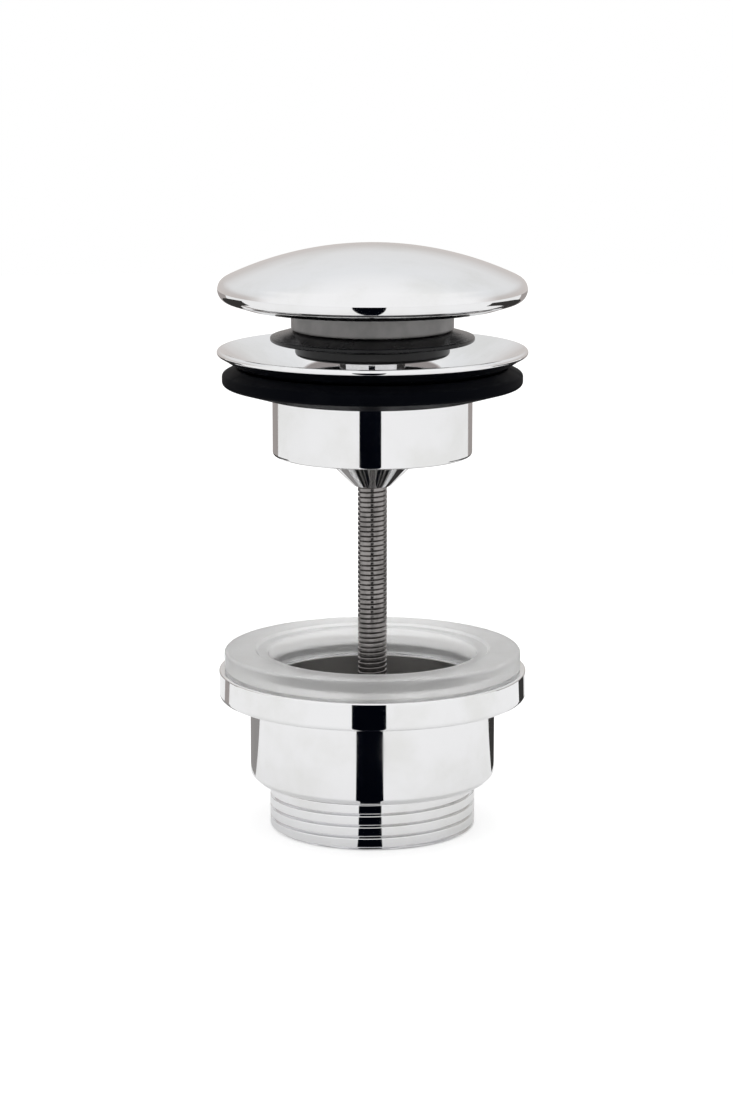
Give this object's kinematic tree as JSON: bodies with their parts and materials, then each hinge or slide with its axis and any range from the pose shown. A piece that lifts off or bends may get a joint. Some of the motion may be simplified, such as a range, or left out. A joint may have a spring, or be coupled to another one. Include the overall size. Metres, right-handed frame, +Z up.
{
  "type": "pop up basin waste",
  "caption": "Basin waste with a domed click plug on a seal, a dished flange and tube, and a threaded lower body drawn up by a long central screw.",
  "frame": {"origin": "centre of the end face of the threaded outlet, which is the lowest point of the waste", "axes": "+Z up along the waste's own axis, from the outlet to the plug; the crossbars lie along X"},
  "size_m": [0.0624, 0.0624, 0.1193],
  "materials": {
    "chrome": "polished chrome plate",
    "brass": "machined",
    "steel": "rolled thread, bright",
    "black_rubber": "matte moulded",
    "frosted_plastic": "frosted, translucent",
    "collar_plastic": "smoky translucent moulding",
    "dark_plastic": "satin moulding",
    "cam_plastic": "moulded",
    "rotor_plastic": "moulded"
  },
  "bodies": {
    "lower_half": {"lower_body": "chrome", "clamp_nut": "brass", "lower_gasket": "frosted_plastic"},
    "upper_half": {"basin_flange": "chrome", "flange_gasket": "black_rubber", "hub_bridge": "chrome", "cartridge_sleeve": "chrome", "cam_ring": "cam_plastic", "cartridge_bush": "brass", "bush_o_ring": "black_rubber"},
    "screw": {"clamp_screw": "steel"},
    "plunger_group": {"plunger": "steel", "spring_washer": "steel", "return_spring": "steel"},
    "rotor": {"indexing_rotor": "rotor_plastic"},
    "plug": {"cap_insert": "brass", "plug_collar": "collar_plastic", "plug_seal": "black_rubber", "seal_retainer": "dark_plastic", "plug_cap": "chrome"}
  },
  "joints": [
    {"name": "clamp_slide", "type": "slide", "parent": "lower_half", "child": "upper_half", "axis": [0, 0, 1], "range_m": [-0.045, 0]},
    {"name": "screw_turn", "type": "hinge", "parent": "upper_half", "child": "screw", "pos_m": [0, 0, 0.0724], "axis": [0, 0, -1], "range_deg": [0, 16205]},
    {"name": "plug_slide", "type": "slide", "parent": "upper_half", "child": "plunger_group", "axis": [0, 0, 1], "range_m": [-0.0072, 0], "stiffness_N_per_m": 700, "springref_m": 0.007, "deforming": ["return_spring"]},
    {"name": "rotor_turn", "type": "hinge", "parent": "plunger_group", "child": "rotor", "pos_m": [0, 0, 0.0903], "axis": [0, 0, 1], "range_deg": [0, 45.5]},
    {"name": "plug_turn", "type": "hinge", "parent": "plunger_group", "child": "plug", "pos_m": [0, 0, 0.1068], "axis": [0, 0, 1], "continuous": true}
  ],
  "couplings": [
    {"joint": "screw_turn", "follows": "clamp_slide", "rad_per_m": -6283.2},
    {"joint": "rotor_turn", "follows": "plug_slide", "rad_per_m": -109.08}
  ]
}
